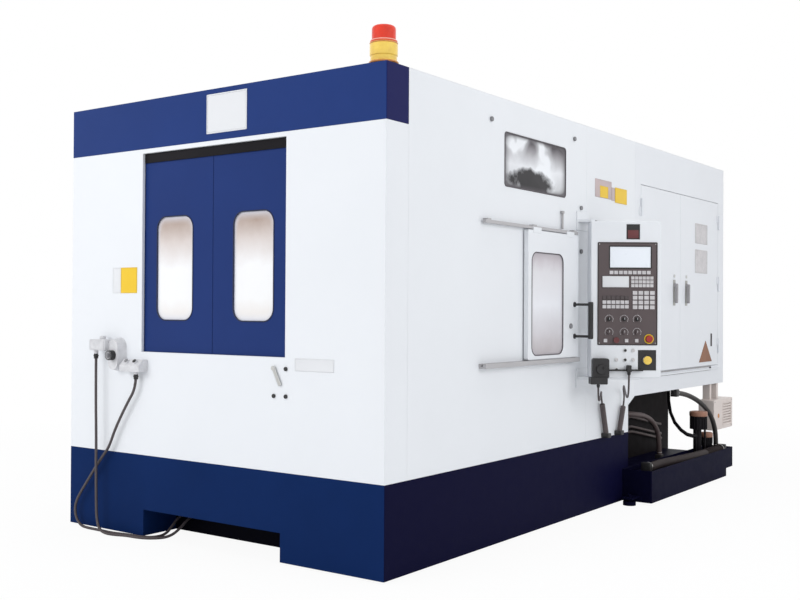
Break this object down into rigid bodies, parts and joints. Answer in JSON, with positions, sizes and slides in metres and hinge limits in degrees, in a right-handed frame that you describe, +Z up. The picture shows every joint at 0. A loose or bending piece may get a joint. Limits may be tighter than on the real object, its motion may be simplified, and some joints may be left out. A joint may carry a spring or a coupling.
{
  "type": "horizontal machining centre",
  "caption": "Enclosed horizontal machining centre with sliding loading doors, a rotating pallet changer, a travelling column spindle, a swing-out console and a side electrical cabinet.",
  "frame": {"origin": "on the floor under the middle levelling foot, at the middle of the enclosure in plan", "axes": "+X to the right as seen from the loading doors, +Y from the loading doors to the back, +Z up"},
  "size_m": [2.8581, 5.082, 2.714],
  "materials": {
    "foot_steel": "zinc plated steel",
    "casting_grey": "grey paint on cast iron",
    "plinth_blue": "dark blue semi-gloss paint",
    "header_blue": "blue semi-gloss paint",
    "door_blue": "blue semi-gloss paint",
    "panel_white": "white semi-gloss paint",
    "cabinet_white": "white semi-gloss paint",
    "clear_pane": "clear laminated pane",
    "module_grey": "moulded grey housings",
    "black_plastic": "fine-grained black",
    "rail_steel": "drawn steel",
    "machined_steel": "ground steel",
    "machined_iron": "milled cast iron",
    "console_brown": "dark grey-brown fine texture",
    "screen_grey": "dull display glass",
    "button_red": "moulded red",
    "black_metal": "black paint",
    "lens_amber": "translucent amber lens",
    "lens_red": "translucent red lens",
    "cooler_beige": "beige paint",
    "hose_black": "smooth hose",
    "cable_grey": "grey sheath",
    "conduit_brown": "corrugated sleeve"
  },
  "bodies": {
    "machine": {"leveling_feet": "foot_steel", "bed": "casting_grey", "changer_housing": "casting_grey", "base_skirt": "plinth_blue", "front_shell": "panel_white", "header_band": "header_blue", "side_panel_right": "panel_white", "magazine_pane": "clear_pane", "pendant_panel_right": "panel_white", "plain_panels": "panel_white", "electrical_cabinet": "cabinet_white", "cabinet_modules": "module_grey", "door_rails": "rail_steel", "magazine_frame": "casting_grey", "console_brackets": "black_metal", "signal_light_base": "black_plastic", "signal_light_amber": "lens_amber", "signal_light_red": "lens_red", "service_boxes": "panel_white", "coolant_tank": "plinth_blue", "coolant_pumps": "black_metal", "oil_cooler": "cooler_beige", "coolant_hoses": "hose_black", "front_cable_a": "cable_grey", "front_cable_b": "cable_grey", "console_cable": "cable_grey", "handwheel_cable": "cable_grey", "cable_conduits": "conduit_brown"},
    "loading_door_left": {"front_door_left": "door_blue", "front_pane_left": "clear_pane"},
    "loading_door_right": {"front_door_right": "door_blue", "front_pane_right": "clear_pane"},
    "side_door": {"operator_door": "panel_white", "operator_pane": "clear_pane", "operator_handle": "black_plastic"},
    "console": {"console_housing": "panel_white", "console_panel": "console_brown", "console_screen": "screen_grey", "handwheel_pendant": "black_plastic"},
    "stop_button": {"e_stop_button": "button_red"},
    "feed_dial": {"feed_knob": "black_plastic"},
    "spindle_dial": {"spindle_knob": "black_plastic"},
    "mode_dial": {"mode_knob": "black_plastic"},
    "handwheel": {"handwheel_dial": "black_plastic"},
    "cabinet_door_a": {"cabinet_door_front": "cabinet_white"},
    "cabinet_door_b": {"cabinet_door_rear": "cabinet_white"},
    "latch_a": {"latch_handle_front": "black_plastic"},
    "latch_b": {"latch_handle_rear": "black_plastic"},
    "travelling_column": {"column": "casting_grey"},
    "spindle_head": {"headstock": "casting_grey"},
    "spindle_shaft": {"spindle": "machined_steel"},
    "saddle": {"table_saddle": "casting_grey"},
    "table": {"rotary_table": "machined_steel", "pallet_rear": "machined_iron"},
    "changer_lift": {"changer_shaft": "machined_steel"},
    "changer": {"pallet_changer": "casting_grey", "pallet_front": "machined_iron"},
    "magazine": {"tool_magazine": "casting_grey", "stored_tools": "machined_steel"},
    "change_arm": {"tool_change_arm": "machined_steel"}
  },
  "joints": [
    {"name": "loading_door_right_slide", "type": "slide", "parent": "machine", "child": "loading_door_right", "axis": [1, 0, 0], "range_m": [0, 0.5]},
    {"name": "loading_door_left_slide", "type": "slide", "parent": "machine", "child": "loading_door_left", "axis": [-1, 0, 0], "range_m": [0, 0.5]},
    {"name": "operator_door_slide", "type": "slide", "parent": "machine", "child": "side_door", "axis": [0, -1, 0], "range_m": [0, 0.45]},
    {"name": "console_swing", "type": "hinge", "parent": "machine", "child": "console", "pos_m": [1.27, -0.316, 1.4], "axis": [0, 0, 1], "range_deg": [-30, 54.4], "deforming": ["console_cable", "handwheel_cable"]},
    {"name": "stop_press", "type": "slide", "parent": "console", "child": "stop_button", "axis": [-0.5821, 0.8131, 0], "range_m": [0, 0.006], "stiffness_N_per_m": 900},
    {"name": "feed_turn", "type": "hinge", "parent": "console", "child": "feed_dial", "pos_m": [1.40383, -0.34317, 1.264], "axis": [0.5821, -0.8131, 0], "range_deg": [-140, 140]},
    {"name": "spindle_turn", "type": "hinge", "parent": "console", "child": "spindle_dial", "pos_m": [1.48026, -0.28845, 1.264], "axis": [0.5821, -0.8131, 0], "range_deg": [-140, 140]},
    {"name": "mode_turn", "type": "hinge", "parent": "console", "child": "mode_dial", "pos_m": [1.54612, -0.2413, 1.264], "axis": [0.5821, -0.8131, 0], "range_deg": [-120, 120]},
    {"name": "handwheel_turn", "type": "hinge", "parent": "console", "child": "handwheel", "pos_m": [1.39079, -0.4263, 0.952], "axis": [0.5821, -0.8131, 0], "continuous": true},
    {"name": "cabinet_door_front_hinge", "type": "hinge", "parent": "machine", "child": "cabinet_door_a", "pos_m": [1.2003, 0.651, 1.5], "axis": [0, 0, -1], "range_deg": [0, 110]},
    {"name": "cabinet_door_rear_hinge", "type": "hinge", "parent": "machine", "child": "cabinet_door_b", "pos_m": [1.2003, 2.27, 1.5], "axis": [0, 0, 1], "range_deg": [0, 110]},
    {"name": "latch_front_turn", "type": "hinge", "parent": "cabinet_door_a", "child": "latch_a", "pos_m": [1.192, 1.29, 1.514], "axis": [1, 0, 0], "range_deg": [0, 90]},
    {"name": "latch_rear_turn", "type": "hinge", "parent": "cabinet_door_b", "child": "latch_b", "pos_m": [1.192, 1.54, 1.514], "axis": [-1, 0, 0], "range_deg": [0, 90]},
    {"name": "column_travel", "type": "slide", "parent": "machine", "child": "travelling_column", "axis": [1, 0, 0], "range_m": [-0.25, 0.25]},
    {"name": "head_travel", "type": "slide", "parent": "travelling_column", "child": "spindle_head", "axis": [0, 0, 1], "range_m": [-0.15, 0.55]},
    {"name": "spindle_rotation", "type": "hinge", "parent": "spindle_head", "child": "spindle_shaft", "pos_m": [0, 0, 1.312], "axis": [0, -1, 0], "continuous": true},
    {"name": "table_travel", "type": "slide", "parent": "machine", "child": "saddle", "axis": [0, 1, 0], "range_m": [-0.47, 0]},
    {"name": "table_rotation", "type": "hinge", "parent": "saddle", "child": "table", "pos_m": [0, -0.455, 0.9], "axis": [0, 0, 1], "continuous": true},
    {"name": "changer_rise", "type": "slide", "parent": "machine", "child": "changer_lift", "axis": [0, 0, 1], "range_m": [0, 0.06]},
    {"name": "changer_turn", "type": "hinge", "parent": "changer_lift", "child": "changer", "pos_m": [0, -1.425, 1], "axis": [0, 0, 1], "range_deg": [0, 180]},
    {"name": "magazine_turn", "type": "hinge", "parent": "machine", "child": "magazine", "pos_m": [0.772, -0.165, 2.002], "axis": [0, -1, 0], "continuous": true},
    {"name": "change_arm_turn", "type": "hinge", "parent": "machine", "child": "change_arm", "pos_m": [0.44383, -0.26, 1.86765], "axis": [0, -1, 0], "range_deg": [-90, 90]}
  ],
  "couplings": [
    {"joint": "loading_door_left_slide", "follows": "loading_door_right_slide", "ratio": 1}
  ]
}
